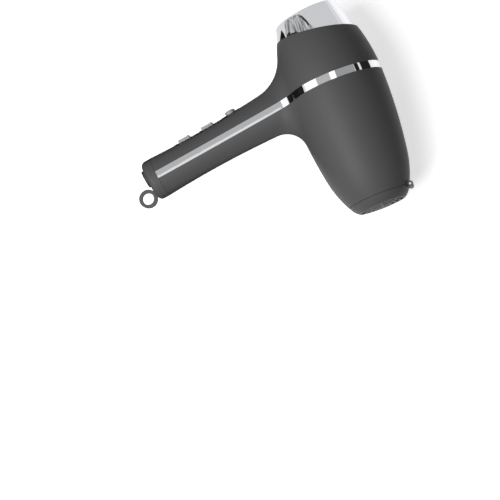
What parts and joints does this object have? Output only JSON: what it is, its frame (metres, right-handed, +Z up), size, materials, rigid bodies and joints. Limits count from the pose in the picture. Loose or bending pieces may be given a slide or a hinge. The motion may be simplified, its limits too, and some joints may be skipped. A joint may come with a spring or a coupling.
{
  "type": "hair dryer",
  "caption": "Hand-held hair dryer with a fixed handle, plated outlet cone and trim frame, hinged rear filter cap, slide switches, cool button and hanging loop.",
  "frame": {"origin": "centre of the bounding box on the table that the dryer lies on, on its right side", "axes": "+Y the way the air outlet points along the table, +X away from the handle, +Z up from the table"},
  "size_m": [0.2176, 0.1684, 0.0805],
  "materials": {
    "soft_touch_charcoal": "matte",
    "chrome_plated_plastic": "polished",
    "gloss_black_plastic": "gloss",
    "black_heat_plastic": "satin",
    "grey_plastic": "satin",
    "ivory_plastic": "satin",
    "black_rubber": "matte",
    "stainless_mesh": "satin",
    "zinc_plated_steel": "satin",
    "heating_wire": "satin",
    "mica": "satin",
    "magnet_ferrite": "matte",
    "laminated_steel": "satin",
    "copper": "satin",
    "sintered_bronze": "matte",
    "carbon": "matte",
    "circuit_board": "satin",
    "capacitor_yellow": "gloss",
    "lead_insulation": "satin"
  },
  "bodies": {
    "housing": {"rear_shell": "soft_touch_charcoal", "front_shell": "soft_touch_charcoal", "board_screws": "zinc_plated_steel", "capacitor": "capacitor_yellow", "clamp_screws": "zinc_plated_steel", "cool_spring": "zinc_plated_steel", "cool_switch": "black_heat_plastic", "cord_clamp": "black_heat_plastic", "cord_gland": "black_rubber", "fan_duct": "black_heat_plastic", "filter_hinge_pin": "zinc_plated_steel", "handle_end_cap": "soft_touch_charcoal", "heat_switch": "black_heat_plastic", "heater_board_level": "mica", "heater_board_upright": "mica", "heater_leads": "lead_insulation", "heater_tube": "mica", "heating_coils": "heating_wire", "housing_screws": "zinc_plated_steel", "intake_guard": "black_heat_plastic", "loop_pin": "zinc_plated_steel", "motor_brushes": "carbon", "motor_bushes": "sintered_bronze", "motor_can": "zinc_plated_steel", "motor_end_cap": "black_heat_plastic", "motor_leads": "lead_insulation", "motor_magnets": "magnet_ferrite", "motor_screws": "zinc_plated_steel", "outlet_cone": "chrome_plated_plastic", "outlet_grille": "black_heat_plastic", "outlet_sleeve": "black_heat_plastic", "rectifier_diodes": "black_heat_plastic", "speed_switch": "black_heat_plastic", "switch_board": "circuit_board", "switch_panel": "gloss_black_plastic", "thermal_fuse": "zinc_plated_steel", "thermostat": "zinc_plated_steel", "trim_frame": "chrome_plated_plastic"},
    "rotor": {"fan": "black_heat_plastic", "motor_shaft": "zinc_plated_steel", "armature_core": "laminated_steel", "armature_windings": "copper", "commutator": "copper"},
    "heat_switch_slider": {"heat_slider": "grey_plastic", "heat_lever": "ivory_plastic"},
    "speed_switch_slider": {"speed_slider": "grey_plastic", "speed_lever": "ivory_plastic"},
    "cool_shot_button": {"cool_button": "grey_plastic"},
    "filter_door": {"filter_cap": "soft_touch_charcoal", "filter_mesh": "stainless_mesh"},
    "hanging_loop": {"hang_loop": "black_heat_plastic"}
  },
  "joints": [
    {"name": "fan_spin", "type": "hinge", "parent": "housing", "child": "rotor", "pos_m": [0.06857, -0.03141, 0.03811], "axis": [0, 0.9991, 0.0417], "continuous": true},
    {"name": "heat_slide", "type": "slide", "parent": "housing", "child": "heat_switch_slider", "axis": [0.9803, 0.1153, 0.1604], "range_m": [0, 0.008]},
    {"name": "speed_slide", "type": "slide", "parent": "housing", "child": "speed_switch_slider", "axis": [0.9803, 0.1153, 0.1604], "range_m": [0, 0.008]},
    {"name": "cool_press", "type": "slide", "parent": "housing", "child": "cool_shot_button", "axis": [0.1204, -0.9925, -0.0223], "range_m": [0, 0.0015], "stiffness_N_per_m": 600, "springref_m": -0.0015, "deforming": ["cool_spring"]},
    {"name": "filter_door_hinge", "type": "hinge", "parent": "housing", "child": "filter_door", "pos_m": [0.09472, -0.07571, 0.04041], "axis": [-0.1566, -0.0412, 0.9868], "range_deg": [0, 95]},
    {"name": "hang_loop_swing", "type": "hinge", "parent": "housing", "child": "hanging_loop", "pos_m": [-0.09044, -0.00474, 0.01398], "axis": [-0.1566, -0.0412, 0.9868], "range_deg": [0, 75]}
  ]
}
